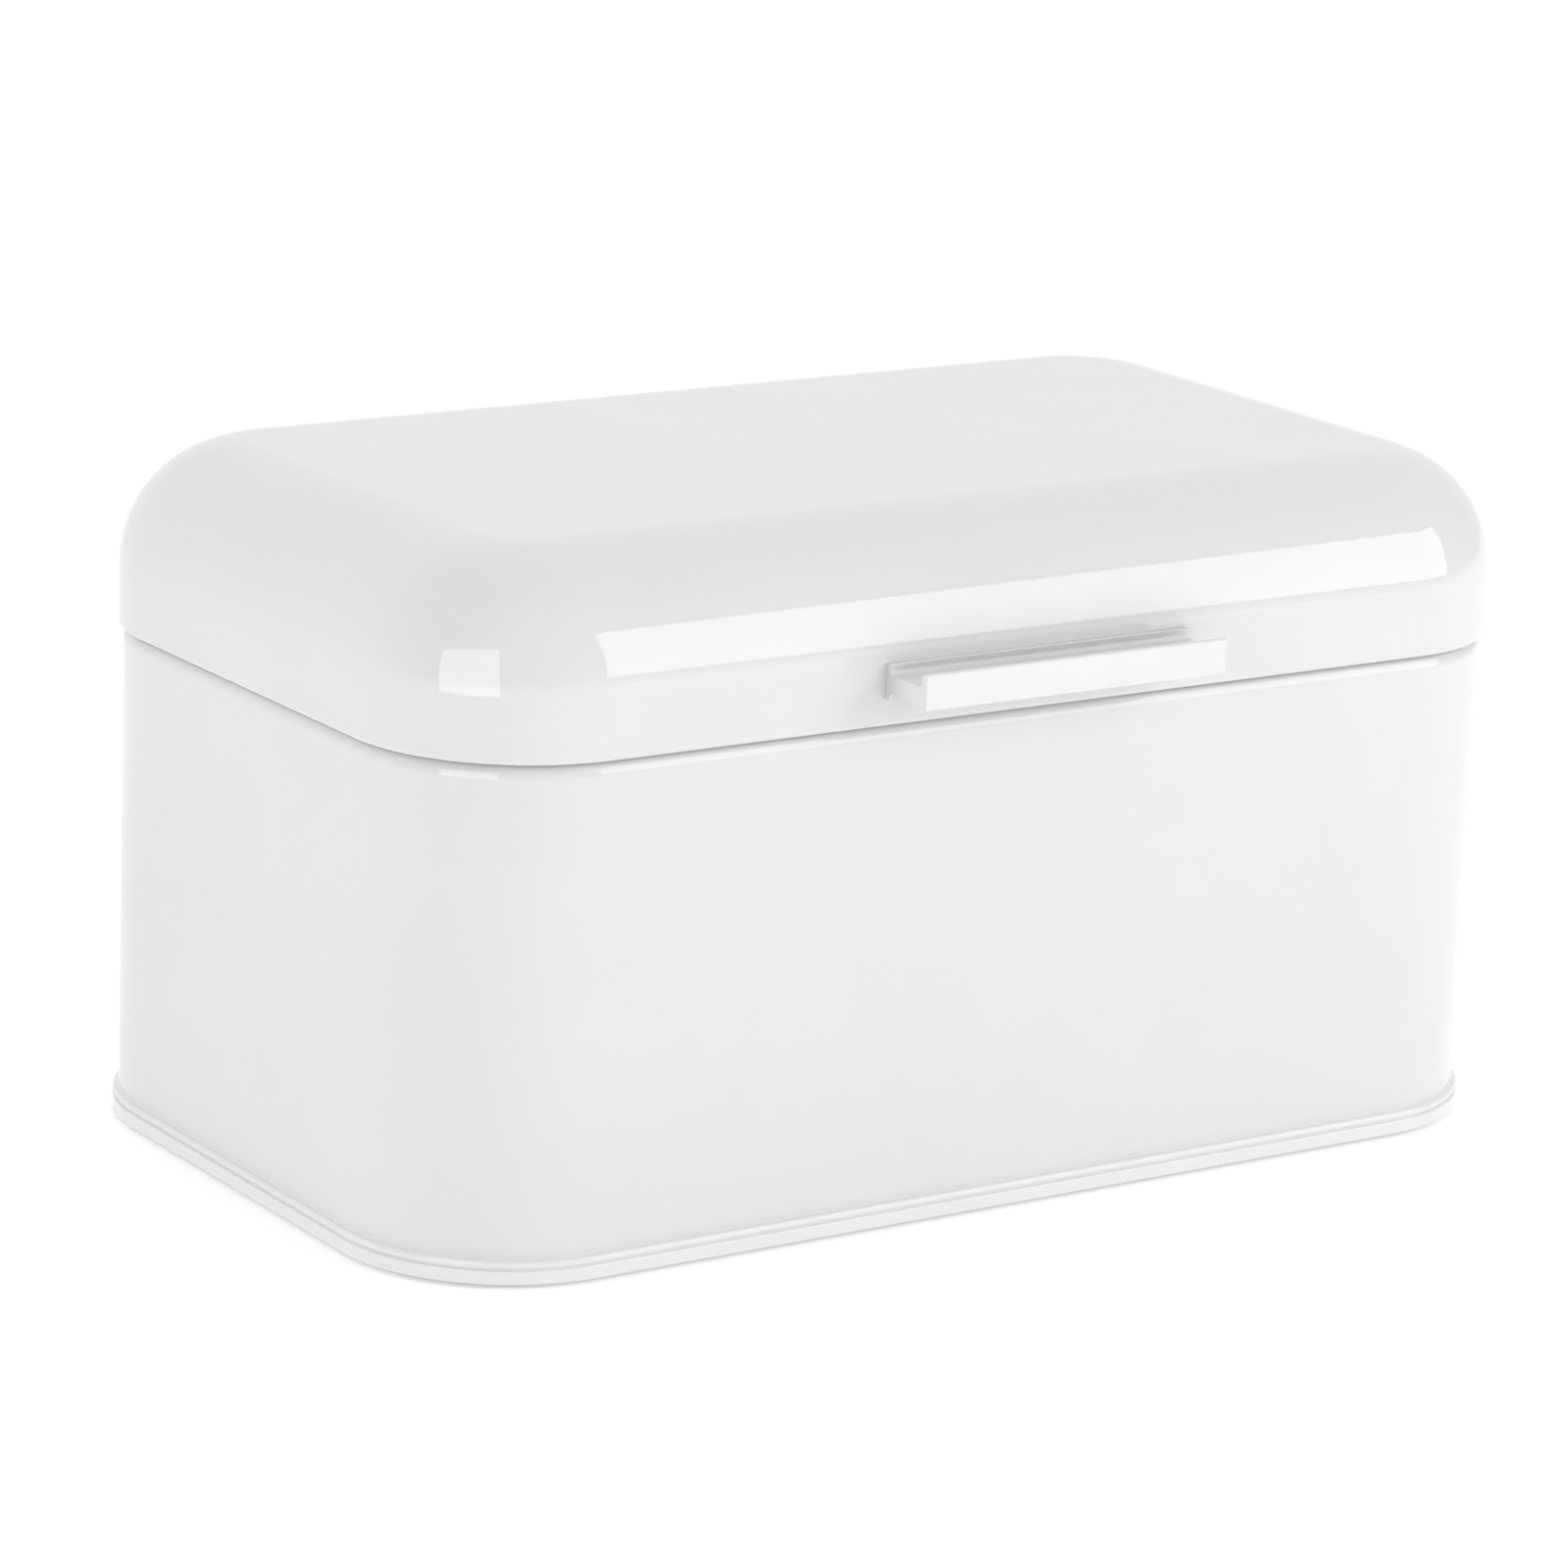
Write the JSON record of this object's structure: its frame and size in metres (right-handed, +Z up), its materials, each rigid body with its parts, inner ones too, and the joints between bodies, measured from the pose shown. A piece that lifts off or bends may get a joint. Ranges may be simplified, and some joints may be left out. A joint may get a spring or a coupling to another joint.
{
  "type": "bread box with hinged lid",
  "caption": "Sheet-steel bread box with rounded corners, a seamed foot rim and a domed lift-up lid on two rear hinges, with a bar handle.",
  "frame": {"origin": "on the supporting surface, under the middle of the whole assembly's plan", "axes": "+X along the width to the user's right, +Y to the hinged back, +Z up"},
  "size_m": [0.305, 0.2044, 0.1617],
  "materials": {
    "body_enamel": "gloss white powder coat",
    "base_enamel": "gloss white powder coat",
    "lid_enamel": "gloss white powder coat",
    "handle_finish": "satin white coat on an aluminium extrusion",
    "zinc_screws": "zinc plated",
    "hinge_enamel": "gloss white powder coat",
    "pin_steel": "drawn steel wire",
    "rivet_enamel": "gloss white powder coat",
    "foot_rubber": "matt, off-white"
  },
  "bodies": {
    "body": {"body_shell": "body_enamel", "base_panel": "base_enamel", "hinge_left_body_leaf": "hinge_enamel", "hinge_left_pin": "pin_steel", "hinge_right_body_leaf": "hinge_enamel", "hinge_right_pin": "pin_steel", "body_rivets_left": "rivet_enamel", "body_rivets_right": "rivet_enamel", "foot_front_left": "foot_rubber", "foot_front_right": "foot_rubber", "foot_rear_left": "foot_rubber", "foot_rear_right": "foot_rubber"},
    "lid": {"lid_shell": "lid_enamel", "handle_bar": "handle_finish", "handle_screws": "zinc_screws", "handle_washers": "zinc_screws", "hinge_left_lid_leaf": "hinge_enamel", "hinge_right_lid_leaf": "hinge_enamel", "lid_rivets_left": "rivet_enamel", "lid_rivets_right": "rivet_enamel"}
  },
  "joints": [
    {"name": "lid_hinge", "type": "hinge", "parent": "body", "child": "lid", "pos_m": [0, 0.09709, 0.1186], "axis": [-1, 0, 0], "range_deg": [0, 100]}
  ]
}
